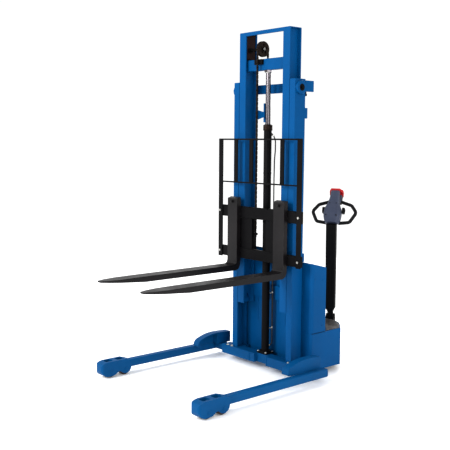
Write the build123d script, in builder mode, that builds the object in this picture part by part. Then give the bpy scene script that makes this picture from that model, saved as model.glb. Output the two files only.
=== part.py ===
# Walkie straddle stacker: two-stage mast, central lift cylinder, adjustable
# straddle legs, hooked forks and a steered drive unit with a tiller.
# Millimetres, +Z up, forks point to -Y, tiller to +Y, origin on the floor.
from build123d import *
import math
import os

os.makedirs("parts", exist_ok=True)

# ---------------------------------------------------------------- dimensions
DY = 132.8082        # mast front face, from the origin, along Y

INNER_HALF = 255.0    # inner mast, outside half width
INNER_FLANGE = 65.0   # inner mast flange width
INNER_DEPTH = 112.0   # inner mast section depth
INNER_BOTTOM = 460.0
INNER_TOP = 2435.0
OUTER_HALF = 311.0    # outer mast, outside half width
OUTER_FLANGE = 52.0
OUTER_DEPTH = 100.0
OUTER_BOTTOM = 112.0
OUTER_TOP = 2089.0
MAST_WALL = 12.0

CYL_Y = 47.0          # lift cylinder axis, behind the mast front face
BARREL_R = 28.0
BORE_R = 22.0
ROD_R = 18.0
BARREL_BOTTOM = 135.0
BARREL_TOP = 1740.0
CROSS_BOTTOM = 2165.0
CROSS_TOP = 2245.0

SHEAVE_X = -62.0
SHEAVE_Y = 47.0
SHEAVE_Z = 2317.0
SHEAVE_R = 46.0       # radius under the chain
CHAIN_T = 10.0
CHAIN_W = 16.0

BAR_FRONT = -38.0     # fork bar front face, from the mast front face
BAR_BACK = -12.0
BAR_HALF = 419.0
BAR_LOW = (805.0, 882.0)
BAR_HIGH = (1104.0, 1188.0)
REST_TOP = 1682.0     # load backrest
REST_MID = 1364.0
REST_X = 407.0

FORK_X = 242.0
FORK_W = 104.0
FORK_T = 34.0
FORK_TOP = 757.0
FORK_TIP = -1214.0
SHANK_TOP = 1256.0

BASE_HALF = 402.0
BASE_FRONT = -27.0
BASE_Z = (46.0, 112.0)
LEG_IN = 506.0
LEG_OUT = 558.0
LEG_Z = (48.6, 103.0)
LEG_REAR = 115.0
LEG_FRONT = -800.0
TIP_IN = 495.0
TIP_OUT = 580.0
TIP_FRONT = -1044.0
LOAD_R = 42.0
LOAD_Y = (-965.0, -844.0)
LOAD_X = 537.5

BODY_HALF = 390.0
BODY_FRONT = 118.0
LOWER_Z = (45.0, 313.0)
COVER_TOP = 815.0
SLOPE = 14.6          # fall of the cover top towards the rear, degrees

STEER_Y = 750.0
STEER_REST = 28.0     # angle at which the tiller stands, about the upright axis
DRIVE_R = 88.0
DRIVE_W = 62.0
PIVOT_B = 34.0        # tiller hinge behind the steering axis
PIVOT_Z = 270.0
HEAD_LEAN = 31.0
CASTER_R = 46.0


# ------------------------------------------------------------------- helpers
def slab(x0, x1, y0, y1, z0, z1, mode=Mode.ADD):
    """Rectangular block between two corners; Y from the mast front face."""
    with Locations(((x0 + x1) / 2, DY + (y0 + y1) / 2, (z0 + z1) / 2)):
        Box(x1 - x0, y1 - y0, z1 - z0, mode=mode)


def pin_x(x0, x1, y, z, r, mode=Mode.ADD):
    """Round bar along X."""
    with Locations(((x0 + x1) / 2, DY + y, z)):
        Cylinder(r, x1 - x0, rotation=(0, 90, 0), mode=mode)


def pin_y(y0, y1, x, z, r, mode=Mode.ADD):
    """Round bar along Y."""
    with Locations((x, DY + (y0 + y1) / 2, z)):
        Cylinder(r, y1 - y0, rotation=(90, 0, 0), mode=mode)


def pin_z(z0, z1, x, y, r, mode=Mode.ADD):
    """Round bar along Z."""
    with Locations((x, DY + y, (z0 + z1) / 2)):
        Cylinder(r, z1 - z0, mode=mode)


def level(z, x=0.0, y=0.0):
    """Horizontal work plane whose origin is on the mast front face."""
    return Plane((x, DY + y, z), x_dir=(1, 0, 0), z_dir=(0, 0, 1))


def side(x):
    """Work plane facing +X: sketch X is the machine's Y, sketch Y is up."""
    return Plane((x, DY, 0), x_dir=(0, 1, 0), z_dir=(1, 0, 0))


def front(y):
    """Work plane facing -Y: sketch X is the machine's X, sketch Y is up."""
    return Plane((0, DY + y, 0), x_dir=(1, 0, 0), z_dir=(0, -1, 0))


# Pieces that are welded or bolted into one unit share a node, as separate solids
UNITS = {
    "outer_mast_channels": ("outer_mast_left", "outer_mast_right", "outer_roller_bosses",
                            "outer_roller_stubs"),
    "outer_mast_ties": ("outer_mast_top_tie", "outer_mast_middle_tie", "outer_mast_rear_lugs"),
    "chain_anchor": ("chain_anchor_arm", "chain_anchor_plate", "chain_anchor_bolt"),
    "cylinder_fittings": ("cylinder_gland", "cylinder_foot"),
    "hydraulic_hose": ("hydraulic_line", "hose_fitting"),
    "inner_mast_channels": ("inner_mast_left", "inner_mast_right", "inner_roller_stubs"),
    "inner_mast_ties": ("inner_mast_top_tie", "inner_mast_lower_tie"),
    "piston_rod": ("rod", "piston", "rod_nut"),
    "sheave_bracket": ("sheave_arm", "chain_guide"),
    "carriage_bars": ("carriage_lower_bar", "carriage_upper_bar"),
    "carriage_plates": ("carriage_plate_left", "carriage_plate_right", "carriage_side_plate_left",
                        "carriage_side_plate_right", "carriage_roller_stubs",
                        "carriage_chain_anchor", "carriage_chain_bolt"),
    "load_backrest": ("backrest_post_left", "backrest_post_right", "backrest_top_bar",
                      "backrest_middle_bar", "backrest_uprights", "backrest_bolts"),
    "fork_left": ("fork_left_arm", "fork_latch_left"),
    "fork_right": ("fork_right_arm", "fork_latch_right"),
    "base_frame": ("front_crossbeam", "floor_plate", "mast_foot_blocks"),
    "chassis_fasteners": ("leg_clamp_bolts", "cylinder_foot_bolts", "lid_hinge_pins", "mast_stop_bolts"),
    "battery_lid": ("battery_lid_panel", "lid_handle"),
    "battery": ("battery_case", "battery_tray"),
    "hydraulic_power_pack": ("hydraulic_tank", "pump_motor", "valve_block"),
    "dash_plate": ("dash", "battery_indicator", "stop_collar"),
    "leg_left": ("leg_beam_left", "leg_slide_arm_left", "leg_gusset_left"),
    "leg_right": ("leg_beam_right", "leg_slide_arm_right", "leg_gusset_right"),
    "leg_tip_left": ("leg_tip_housing_left", "load_wheel_axles_left"),
    "leg_tip_right": ("leg_tip_housing_right", "load_wheel_axles_right"),
    "drive_mount_plate": ("drive_mount", "caster_mount_left", "caster_mount_right"),
    "steering_yoke": ("yoke", "drive_axle", "tiller_bracket", "tiller_pivot_pin"),
    "drive_wheel": ("drive_hub", "drive_tyre"),
    "tiller_column": ("tiller_tube", "tiller_column_ribs"),
    "tiller_head": ("tiller_head_housing", "button_panel"),
    "handle_loops": ("handle_loop_left", "handle_loop_right"),
    "throttle": ("throttle_left", "throttle_right"),
}
UNIT_OF = {piece: unit for unit, pieces in UNITS.items() for piece in pieces}
made = {}


def save(p, name):
    p.part.label = name
    if name in UNIT_OF:
        made.setdefault(UNIT_OF[name], []).extend(p.part.solids())
    else:
        export_step(p.part, "parts/" + name + ".step")


# ---------------------------------------------------------------- outer mast
for tag, s in (("left", -1), ("right", 1)):
    with BuildPart() as channel:
        with BuildSketch(level(OUTER_BOTTOM)):
            xo, xi, w = OUTER_HALF, OUTER_HALF - OUTER_FLANGE, MAST_WALL
            with BuildLine():
                Polyline(
                    (s * xo, 0), (s * xi, 0), (s * xi, w), (s * (xo - w), w + 4),
                    (s * (xo - w), OUTER_DEPTH - w - 4), (s * xi, OUTER_DEPTH - w),
                    (s * xi, OUTER_DEPTH), (s * xo, OUTER_DEPTH), close=True)
            make_face()
        extrude(amount=OUTER_TOP - OUTER_BOTTOM)
        pin_x(min(s * 280, s * 330), max(s * 280, s * 330), 50, 2030, 15.05, Mode.SUBTRACT)
    save(channel, "outer_mast_" + tag)

with BuildPart() as outer_tie:
    for s in (-1, 1):
        a, b = sorted((s * OUTER_HALF, s * (OUTER_HALF - 14)))
        slab(a, b, OUTER_DEPTH, 185, 2005, 2080)
    slab(-OUTER_HALF, OUTER_HALF, 160, 185, 2010, 2075)
save(outer_tie, "outer_mast_top_tie")

with BuildPart() as stops:
    for x in (-303, 303):
        pin_z(1990, 2005, x, 111, 6)
        pin_z(1974, 1990, x, 111, 9.5)
    fillet(stops.edges().filter_by(GeomType.CIRCLE).group_by(Axis.Z)[0], 2)
save(stops, "mast_stop_bolts")

with BuildPart() as outer_low_tie:
    slab(-OUTER_HALF, OUTER_HALF, OUTER_DEPTH + 0.0, BODY_FRONT, 820, 880)
    slab(-OUTER_HALF + 30, OUTER_HALF - 30, OUTER_DEPTH - 1, INNER_DEPTH + 1.5, 815, 885, Mode.SUBTRACT)
save(outer_low_tie, "outer_mast_middle_tie")

with BuildPart() as stub:
    slab(285, 310, OUTER_DEPTH, 126, 1821, 1893)
    slab(-310, -285, OUTER_DEPTH, 126, 1821, 1893)
save(stub, "outer_mast_rear_lugs")

# Bosses that carry the upper roller stubs, outside the outer mast
with BuildPart() as bosses:
    for s in (-1, 1):
        a, b = sorted((s * OUTER_HALF, s * (OUTER_HALF + 18)))
        pin_x(a, b, 50, 2030, 46)
    fillet(bosses.edges().filter_by(GeomType.CIRCLE).group_by(Axis.X)[0], 5)
    fillet(bosses.edges().filter_by(GeomType.CIRCLE).group_by(Axis.X)[-1], 5)
save(bosses, "outer_roller_bosses")

with BuildPart() as stubs_out:
    for s in (-1, 1):
        a, b = sorted((s * 236, s * OUTER_HALF))
        pin_x(a, b, 50, 2030, 15.05)
save(stubs_out, "outer_roller_stubs")

with BuildPart() as rollers_out:
    for s in (-1, 1):
        a, b = sorted((s * 234, s * 252))
        pin_x(a, b, 50, 2030, 34)
        pin_x(a, b, 50, 2030, 15.1, Mode.SUBTRACT)
save(rollers_out, "outer_mast_rollers")

# Tapered arm that holds the fixed end of the lift chain
with BuildPart() as anchor_arm:
    with BuildSketch(front(INNER_DEPTH + 1.6)):
        with BuildLine():
            Polyline((-284.9, 1821), (-284.9, 1893), (-190, 1893), (-86, 1868),
                     (-86, 1846), (-190, 1821), close=True)
        make_face()
    extrude(amount=-8)
save(anchor_arm, "chain_anchor_arm")

with BuildPart() as anchor_plate:
    with BuildSketch(side(-86)):
        with BuildLine():
            Polyline((84, 1800), (102, 1800), (121, 1840), (121, 1885), (102, 1936), (84, 1936), close=True)
        make_face()
    extrude(amount=10)
    slab(-76, -54, 84, 102, 1800, 1822)
save(anchor_plate, "chain_anchor_plate")

with BuildPart() as anchor_bolt:
    pin_z(1784, 1800, -63, 93, 9)
    pin_z(1822, 1836, -63, 93, 5)
save(anchor_bolt, "chain_anchor_bolt")

# ------------------------------------------------------------- lift cylinder
with BuildPart() as barrel:
    with BuildSketch(level(BARREL_BOTTOM)):
        with Locations((0, CYL_Y)):
            Circle(BARREL_R)
            Circle(BORE_R, mode=Mode.SUBTRACT)
    extrude(amount=BARREL_TOP - BARREL_BOTTOM)
save(barrel, "cylinder_barrel")

with BuildPart() as gland:
    with BuildSketch(level(BARREL_TOP)):
        with Locations((0, CYL_Y)):
            Circle(33)
            Circle(ROD_R + 0.05, mode=Mode.SUBTRACT)
    extrude(amount=40)
    fillet(gland.edges().filter_by(GeomType.CIRCLE).group_by(Axis.Z)[-1].sort_by(SortBy.RADIUS)[-1], 4)
save(gland, "cylinder_gland")

with BuildPart() as foot:
    slab(-48, 48, 8, 90, 112, 124)
    pin_z(124, BARREL_BOTTOM, 0, CYL_Y, 40)
save(foot, "cylinder_foot")

with BuildPart() as foot_bolts:
    for x in (-39, 39):
        for y in (16, 82):
            with BuildSketch(level(124)):
                with Locations((x, y)):
                    RegularPolygon(7.5, 6)
            extrude(amount=7)
save(foot_bolts, "cylinder_foot_bolts")

# Oil line: leaves the head, bows out to the right and follows the barrel down
with BuildPart() as hose:
    hp = [(30, 60, 1712), (44, 66, 1700), (54, 72, 1664), (50, 76, 1600), (38, 80, 1530),
          (34, 82, 1400), (34, 82, 900)]
    with BuildLine():
        FilletPolyline(*[(p[0], DY + p[1], p[2]) for p in hp], radius=[9, 30, 80, 90, 150])
    with BuildSketch(Plane(origin=(30, DY + 60, 1712),
                           z_dir=(14, 6, -12))):
        Circle(4.5)
    sweep()
save(hose, "hydraulic_line")

with BuildPart() as hose_fit:
    with BuildSketch(Plane(origin=(30 - 7, DY + 60 - 3, 1712 + 6), z_dir=(14, 6, -12))):
        RegularPolygon(8, 6)
    extrude(amount=16.6)
    pin_z(1704, 1739, 0, CYL_Y, BARREL_R, Mode.SUBTRACT)
save(hose_fit, "hose_fitting")

# ---------------------------------------------------------------- inner mast
for tag, s in (("left", -1), ("right", 1)):
    with BuildPart() as beam:
        with BuildSketch(level(INNER_BOTTOM)):
            xo, xi = INNER_HALF, INNER_HALF - INNER_FLANGE
            w = MAST_WALL
            wo, wi = 230.0, 218.0
            d = INNER_DEPTH
            with BuildLine():
                Polyline(
                    (s * xo, 0), (s * xi, 0), (s * xi, w - 2), (s * wi, w + 3),
                    (s * wi, d - w - 3), (s * xi, d - w + 2), (s * xi, d), (s * xo, d),
                    (s * xo, d - w + 2), (s * wo, d - w - 3), (s * wo, w + 3), (s * xo, w - 2),
                    close=True)
            make_face()
        extrude(amount=INNER_TOP - INNER_BOTTOM)
        pin_x(min(s * 210, s * 240), max(s * 210, s * 240), 50, 520, 15.05, Mode.SUBTRACT)
    save(beam, "inner_mast_" + tag)

with BuildPart() as inner_top:
    slab(-INNER_HALF, INNER_HALF, 0, INNER_DEPTH, INNER_TOP, INNER_TOP + 6)
    slab(-INNER_HALF + 65, INNER_HALF - 65, 0, 14, INNER_TOP - 20, INNER_TOP)
    slab(-150, 150, 40, INNER_DEPTH + 1, INNER_TOP - 1, INNER_TOP + 7, Mode.SUBTRACT)
save(inner_top, "inner_mast_top_tie")

with BuildPart() as cross:
    slab(-218, 218, 25, 69, CROSS_BOTTOM, CROSS_TOP)
    fillet(cross.edges().filter_by(Axis.X), 5)
save(cross, "crosshead")

with BuildPart() as inner_low:
    slab(-190, 190, 101, INNER_DEPTH, 508, 612)
save(inner_low, "inner_mast_lower_tie")

with BuildPart() as rod:
    pin_z(600, CROSS_BOTTOM, 0, CYL_Y, ROD_R)
save(rod, "rod")

with BuildPart() as piston:
    pin_z(560, 600, 0, CYL_Y, BORE_R - 0.05)
    pin_z(572, 578, 0, CYL_Y, BORE_R + 1, Mode.SUBTRACT)
    pin_z(572, 578, 0, CYL_Y, BORE_R - 3)
save(piston, "piston")

with BuildPart() as rod_collar:
    with BuildSketch(level(CROSS_BOTTOM - 14)):
        with Locations((0, CYL_Y)):
            RegularPolygon(30, 6)
            Circle(ROD_R, mode=Mode.SUBTRACT)
    extrude(amount=14)
save(rod_collar, "rod_nut")

with BuildPart() as stubs_in:
    for s in (-1, 1):
        a, b = sorted((s * 218, s * 292))
        pin_x(a, b, 50, 520, 15.05)
save(stubs_in, "inner_roller_stubs")

with BuildPart() as rollers_in:
    for s in (-1, 1):
        a, b = sorted((s * 262, s * 294))
        pin_x(a, b, 50, 520, 34)
        pin_x(min(s * 261, s * 292.5), max(s * 261, s * 292.5), 50, 520, 15.1, Mode.SUBTRACT)
save(rollers_in, "inner_mast_rollers")

# Block in the left channel, above the crosshead, with the pin the sheave turns on
with BuildPart() as sheave_arm:
    slab(-218, -194, 17, 95, 2250, 2430)
    fillet(sheave_arm.edges().filter_by(Axis.Y).group_by(Axis.X)[-1], 5)
    pin_x(-196, SHEAVE_X + 14, SHEAVE_Y, SHEAVE_Z, 9.05)
    pin_x(-196, -182, SHEAVE_Y, SHEAVE_Z, 19)
    pin_x(SHEAVE_X - 26, SHEAVE_X - 12, SHEAVE_Y, SHEAVE_Z, 15)
    pin_x(SHEAVE_X + 12, SHEAVE_X + 18, SHEAVE_Y, SHEAVE_Z, 14)
save(sheave_arm, "sheave_arm")

with BuildPart() as guide:
    slab(SHEAVE_X - 46, SHEAVE_X + 34, 8, 25, 2206, 2243)
    fillet(guide.edges().filter_by(Axis.Y), 4)
save(guide, "chain_guide")

with BuildPart() as sheave:
    with BuildSketch(Plane((0, DY + SHEAVE_Y, SHEAVE_Z), x_dir=(1, 0, 0), z_dir=(0, -1, 0))):
        with BuildLine():
            Polyline((SHEAVE_X - 10, 9.1), (SHEAVE_X + 10, 9.1), (SHEAVE_X + 10, 55),
                     (SHEAVE_X + 8.4, 55), (SHEAVE_X + 8.4, SHEAVE_R - 0.4),
                     (SHEAVE_X - 8.4, SHEAVE_R - 0.4), (SHEAVE_X - 8.4, 55), (SHEAVE_X - 10, 55),
                     close=True)
        make_face()
    revolve(axis=Axis((0, DY + SHEAVE_Y, SHEAVE_Z), (1, 0, 0)))
    for k in range(5):
        t = math.radians(72 * k + 20)
        pin_x(SHEAVE_X - 11, SHEAVE_X + 11, SHEAVE_Y + 28 * math.cos(t), SHEAVE_Z + 28 * math.sin(t), 8,
              Mode.SUBTRACT)
save(sheave, "chain_sheave")

CH0, CH1 = SHEAVE_X - CHAIN_W / 2, SHEAVE_X + CHAIN_W / 2
with BuildPart() as wrap:
    with BuildSketch(side(CH0)):
        with Locations((SHEAVE_Y, SHEAVE_Z)):
            Circle(SHEAVE_R + CHAIN_T)
            Circle(SHEAVE_R, mode=Mode.SUBTRACT)
        with Locations((SHEAVE_Y, SHEAVE_Z - 50)):
            Rectangle(140, 100, mode=Mode.SUBTRACT)
    extrude(amount=CHAIN_W)
save(wrap, "lift_chain_wrap")

CF = SHEAVE_Y - SHEAVE_R - CHAIN_T
CB = SHEAVE_Y + SHEAVE_R
with BuildPart() as strand_f:
    slab(CH0, CH1, CF, CF + CHAIN_T, 1016, SHEAVE_Z)
save(strand_f, "lift_chain_front")
with BuildPart() as strand_r:
    slab(CH0, CH1, CB, CB + CHAIN_T, 1836, SHEAVE_Z)
save(strand_r, "lift_chain_rear")

# ------------------------------------------------------------------ carriage
with BuildPart() as bar_low:
    slab(-BAR_HALF, BAR_HALF, BAR_FRONT, BAR_BACK, *BAR_LOW)
    chamfer(bar_low.edges().filter_by(Axis.X), 4)
save(bar_low, "carriage_lower_bar")
with BuildPart() as bar_high:
    slab(-BAR_HALF, BAR_HALF, BAR_FRONT, BAR_BACK, *BAR_HIGH)
    chamfer(bar_high.edges().filter_by(Axis.X), 4)
    for k in range(-8, 9, 2):
        slab(k * 46 - 4, k * 46 + 4, BAR_FRONT - 1, BAR_FRONT + 14, BAR_HIGH[1] - 8, BAR_HIGH[1] + 1, Mode.SUBTRACT)
save(bar_high, "carriage_upper_bar")

for tag, s in (("left", -1), ("right", 1)):
    with BuildPart() as vplate:
        a, b = sorted((s * 72, s * 200))
        slab(a, b, BAR_FRONT + 6, BAR_BACK, BAR_LOW[1], BAR_HIGH[0])
    save(vplate, "carriage_plate_" + tag)
    with BuildPart() as splate:
        a, b = sorted((s * 160, s * 178))
        slab(a, b, BAR_BACK, 96, 800, 1130)
        slab(a, b, 40, 97, 1095, 1131, Mode.SUBTRACT)
        fillet(splate.edges().filter_by(Axis.X).group_by(Axis.Y)[-1], 12)
        for z in (842, 1060):
            pin_x(a - 1, b + 1, 50, z, 14.05, Mode.SUBTRACT)
    save(splate, "carriage_side_plate_" + tag)

with BuildPart() as cstubs:
    for z in (842, 1060):
        for s in (-1, 1):
            a, b = sorted((s * 160, s * 212))
            pin_x(a, b, 50, z, 14.05)
save(cstubs, "carriage_roller_stubs")

for tag, z in (("lower", 842), ("upper", 1060)):
    with BuildPart() as croll:
        for s in (-1, 1):
            a, b = sorted((s * 183, s * 214))
            pin_x(a, b, 50, z, 34)
            pin_x(min(s * 182, s * 212.5), max(s * 182, s * 212.5), 50, z, 14.1, Mode.SUBTRACT)
    save(croll, "carriage_" + tag + "_rollers")

with BuildPart() as canchor:
    slab(CH0 - 14, CH1 + 4, BAR_BACK, 6, 985, 1001)
save(canchor, "carriage_chain_anchor")
with BuildPart() as cbolt:
    pin_z(1001, 1016, SHEAVE_X, CF + CHAIN_T / 2, 5)
    pin_z(969, 985, SHEAVE_X, CF + CHAIN_T / 2, 8)
save(cbolt, "carriage_chain_bolt")

for tag, s in (("left", -1), ("right", 1)):
    with BuildPart() as post:
        a, b = sorted((s * (REST_X - 20), s * (REST_X + 21)))
        slab(a, b, BAR_FRONT - 9, BAR_FRONT, 800, REST_TOP)
    save(post, "backrest_post_" + tag)

with BuildPart() as rest_top:
    slab(-REST_X + 20, REST_X - 20, BAR_FRONT - 9, BAR_FRONT + 1, REST_TOP - 11, REST_TOP)
save(rest_top, "backrest_top_bar")
with BuildPart() as rest_mid:
    slab(-REST_X + 20, REST_X - 20, BAR_FRONT - 9, BAR_FRONT, REST_MID - 5, REST_MID + 5)
save(rest_mid, "backrest_middle_bar")
with BuildPart() as rest_up:
    for x in (-239, -75, 75, 239):
        slab(x - 17.5, x + 17.5, BAR_FRONT - 8, BAR_FRONT, REST_MID + 5, REST_TOP - 11)
save(rest_up, "backrest_uprights")
with BuildPart() as rest_bolts:
    for s in (-1, 1):
        for z in (843, 1147):
            with BuildSketch(Plane((s * REST_X, DY + BAR_FRONT - 9, z), x_dir=(1, 0, 0), z_dir=(0, -1, 0))):
                RegularPolygon(9, 6)
            extrude(amount=7)
save(rest_bolts, "backrest_bolts")

# --------------------------------------------------------------------- forks
for tag, s in (("left", -1), ("right", 1)):
    x0 = s * FORK_X - FORK_W / 2
    f = BAR_FRONT - 0.4
    with BuildPart() as fork:
        with BuildSketch(side(x0)):
            with BuildLine():
                Polyline(
                    (f, FORK_TOP + 30), (f, SHANK_TOP), (f - FORK_T, SHANK_TOP - 10),
                    (f - FORK_T, FORK_TOP + 26), (f - FORK_T - 8, FORK_TOP + 8),
                    (f - FORK_T - 26, FORK_TOP), (FORK_TIP + 260, FORK_TOP), (FORK_TIP, FORK_TOP - 2),
                    (FORK_TIP, FORK_TOP - 12), (FORK_TIP + 330, FORK_TOP - 38),
                    (f - 40, FORK_TOP - 42), (f - 12, FORK_TOP - 30), (f, FORK_TOP - 4), close=True)
            make_face()
        extrude(amount=FORK_W)
        # rounded taper of the blade tip, seen from above
        with BuildSketch(level(FORK_TOP - 60)):
            with BuildLine():
                Polyline((x0 - 1, FORK_TIP - 1), (x0 - 1, FORK_TIP + 150), (x0 + 12, FORK_TIP + 60),
                         (x0 + 34, FORK_TIP), (x0 + 34, FORK_TIP - 1), close=True)
            make_face()
            with BuildLine():
                Polyline((x0 + FORK_W + 1, FORK_TIP - 1), (x0 + FORK_W + 1, FORK_TIP + 150),
                         (x0 + FORK_W - 12, FORK_TIP + 60), (x0 + FORK_W - 34, FORK_TIP),
                         (x0 + FORK_W - 34, FORK_TIP - 1), close=True)
            make_face()
        extrude(amount=120, mode=Mode.SUBTRACT)
        # hooks over the upper bar and under the lower bar
        slab(x0 + 12, x0 + FORK_W - 12, f - 1, BAR_FRONT + 13, BAR_HIGH[1] + 0.5, BAR_HIGH[1] + 26)
        slab(x0 + 12, x0 + FORK_W - 12, f - 1, BAR_FRONT + 13, BAR_LOW[0] - 22, BAR_LOW[0] - 0.5)
    save(fork, "fork_" + tag + "_arm")
    with BuildPart() as fpin:
        pin_y(f - FORK_T - 6, f - FORK_T, s * FORK_X, 1222, 11)
        pin_y(f - FORK_T - 16, f - FORK_T - 6, s * FORK_X, 1222, 8)
        fillet(fpin.edges().filter_by(GeomType.CIRCLE).group_by(Axis.Y)[0], 3)
    save(fpin, "fork_latch_" + tag)

# ---------------------------------------------------------------- base frame
with BuildPart() as beam_f:
    slab(-BASE_HALF, BASE_HALF, BASE_FRONT, 60, *BASE_Z)
    slab(-BASE_HALF - 1, -92, BASE_FRONT + 7, 53, BASE_Z[0] + 7, BASE_Z[1] - 7, Mode.SUBTRACT)
    slab(92, BASE_HALF + 1, BASE_FRONT + 7, 53, BASE_Z[0] + 7, BASE_Z[1] - 7, Mode.SUBTRACT)
    slab(-40, 83, BASE_FRONT - 1, 4, BASE_Z[0] - 1, BASE_Z[1] + 1, Mode.SUBTRACT)
    chamfer(beam_f.faces().sort_by(Axis.Z)[-1].edges().filter_by(Axis.X).sort_by(Axis.Y)[0:2], 4)
save(beam_f, "front_crossbeam")

with BuildPart() as floor_p:
    slab(-BODY_HALF + 6.5, BODY_HALF - 6.5, 60, 350, BASE_Z[0], BASE_Z[0] + 8)
    slab(-150, 150, 350, 425, BASE_Z[0], BASE_Z[0] + 8)
save(floor_p, "floor_plate")

with BuildPart() as mast_feet:
    for s in (-1, 1):
        a, b = sorted((s * 240, s * 340))
        slab(a, b, 60, 112, BASE_Z[0] + 8, BASE_Z[1])
save(mast_feet, "mast_foot_blocks")

with BuildPart() as clampb:
    for s in (-1, 1):
        for x in (300, 350):
            with BuildSketch(level(BASE_Z[1], s * x, -13)):
                RegularPolygon(9, 6)
            extrude(amount=8)
save(clampb, "leg_clamp_bolts")

# --------------------------------------------------------------- chassis skin
LOWER_PLAN = [(-390, BODY_FRONT), (-390, 432), (-318, 512), (-205, 585), (205, 585), (318, 512),
              (390, 432), (390, BODY_FRONT)]
with BuildPart() as lower:
    with BuildSketch(level(LOWER_Z[0])):
        with BuildLine():
            Polyline(*LOWER_PLAN, close=True)
        make_face()
    extrude(amount=LOWER_Z[1] - LOWER_Z[0])
    fillet(lower.edges().filter_by(Axis.Z).group_by(Axis.Y)[0], 18)
    fillet(lower.edges().filter_by(Axis.Z).group_by(Axis.Y)[-1], 60)
    fillet(lower.edges().group_by(Axis.Z)[-1], 6)
    with BuildSketch(level(LOWER_Z[0] - 1)):
        with BuildLine():
            Polyline((-384, BODY_FRONT + 6), (-384, 428), (-314, 505), (-203, 579), (203, 579),
                     (314, 505), (384, 428), (384, BODY_FRONT + 6), close=True)
        make_face()
    extrude(amount=LOWER_Z[1] - LOWER_Z[0] - 5, mode=Mode.SUBTRACT)
    slab(-389, 389, BODY_FRONT - 1, BODY_FRONT + 7, LOWER_Z[0] - 1, BASE_Z[0] + 8.2, Mode.SUBTRACT)
    # service opening under the upper cover, for the battery and the pump set
    slab(-320, 320, 150, 250, LOWER_Z[1] - 10, LOWER_Z[1] + 1, Mode.SUBTRACT)
save(lower, "lower_housing")

COVER_PLAN = [(-390, BODY_FRONT), (-390, 265), (-318, 345), (-220, 410), (220, 410), (318, 345),
              (390, 265), (390, BODY_FRONT)]
run = 420 - BODY_FRONT
fall = math.tan(math.radians(SLOPE))
with BuildPart() as core:
    with BuildSketch(level(LOWER_Z[1] - 1)):
        with BuildLine():
            Polyline((-385, BODY_FRONT + 5), (-385, 262), (-315, 340), (-218, 405), (218, 405),
                     (315, 340), (385, 262), (385, BODY_FRONT + 5), close=True)
        make_face()
    extrude(amount=COVER_TOP - LOWER_Z[1] + 1)
    fillet(core.edges().filter_by(Axis.Z).group_by(Axis.Y)[0], 21)
    fillet(core.edges().filter_by(Axis.Z).group_by(Axis.Y)[-1], 45)
    with BuildSketch(side(-400)):
        with BuildLine():
            Polyline((BODY_FRONT - 5, COVER_TOP + 1.3 - 5), (BODY_FRONT - 5, COVER_TOP + 60),
                     (440, COVER_TOP + 60), (440, COVER_TOP - 5 - (440 - BODY_FRONT) * fall), close=True)
        make_face()
    extrude(amount=800, mode=Mode.SUBTRACT)

with BuildPart() as cover:
    with BuildSketch(level(LOWER_Z[1])):
        with BuildLine():
            Polyline(*COVER_PLAN, close=True)
        make_face()
    extrude(amount=COVER_TOP - LOWER_Z[1])
    fillet(cover.edges().filter_by(Axis.Z).group_by(Axis.Y)[0], 26)
    fillet(cover.edges().filter_by(Axis.Z).group_by(Axis.Y)[-1], 50)
    with BuildSketch(side(-400)):
        with BuildLine():
            Polyline((BODY_FRONT - 5, COVER_TOP + 1.3), (BODY_FRONT - 5, COVER_TOP + 60),
                     (440, COVER_TOP + 60), (440, COVER_TOP - (440 - BODY_FRONT) * fall), close=True)
        make_face()
    extrude(amount=800, mode=Mode.SUBTRACT)
    add(core.part, mode=Mode.SUBTRACT)
    # battery opening under the lid
    slab(-232, 232, 196, 390, 660, 900, Mode.SUBTRACT)
save(cover, "power_cover")


def slope_plane(y, lift=0.0):
    """Plane on the sloped cover top; sketch X across, sketch Y down the slope."""
    z = COVER_TOP - (y - BODY_FRONT) * fall
    a = math.radians(SLOPE)
    return Plane((0, DY + y + lift * math.sin(a), z + lift * math.cos(a)),
                 x_dir=(1, 0, 0), z_dir=(0, math.sin(a), math.cos(a)))


with BuildPart() as lid:
    with BuildSketch(slope_plane(189.2, 0.6)):
        with Locations((0, 106)):
            RectangleRounded(490, 212, 14)
    extrude(amount=5)
    fillet(lid.faces().sort_by(Axis.Z)[-1:].edges(), 2)
save(lid, "battery_lid_panel")

with BuildPart() as lidhinge:
    a = math.radians(SLOPE)
    for x in (-150, 150):
        zc = COVER_TOP - (184 - BODY_FRONT) * fall + 4.2
        with Locations((x, DY + 184, zc)):
            Cylinder(4, 60, rotation=(0, 90, 0))
save(lidhinge, "lid_hinge_pins")

with BuildPart() as lidpull:
    with BuildSketch(slope_plane(372, 5.6)):
        RectangleRounded(110, 22, 8)
    extrude(amount=9)
    fillet(lidpull.edges().group_by(Axis.Z)[-1], 2)
save(lidpull, "lid_handle")

with BuildPart() as bulk:
    slab(-305, 305, BODY_FRONT - 4, BODY_FRONT, BASE_Z[1], 800)
    slab(-92, -66, BODY_FRONT - 5, BODY_FRONT - 2, 262, 284, Mode.SUBTRACT)
    slab(-92, -66, BODY_FRONT - 5, BODY_FRONT - 2, 226, 236, Mode.SUBTRACT)
    slab(-150, -136, BODY_FRONT - 5, BODY_FRONT - 2, 330, 540, Mode.SUBTRACT)
    slab(136, 150, BODY_FRONT - 5, BODY_FRONT - 2, 330, 540, Mode.SUBTRACT)
save(bulk, "bulkhead_panel")

# Black mat on the deck behind the upper cover
with BuildPart() as deck:
    with BuildSketch(level(LOWER_Z[1])):
        with BuildLine():
            Polyline((-381, 283), (-381, 428), (-313, 504), (-202, 575), (202, 575), (313, 504),
                     (381, 428), (381, 283), (324, 350), (223, 417), (-223, 417), (-324, 350), close=True)
        make_face()
    extrude(amount=4)
    chamfer(deck.edges().group_by(Axis.Z)[-1], 1.5)
save(deck, "rear_deck_mat")

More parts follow.
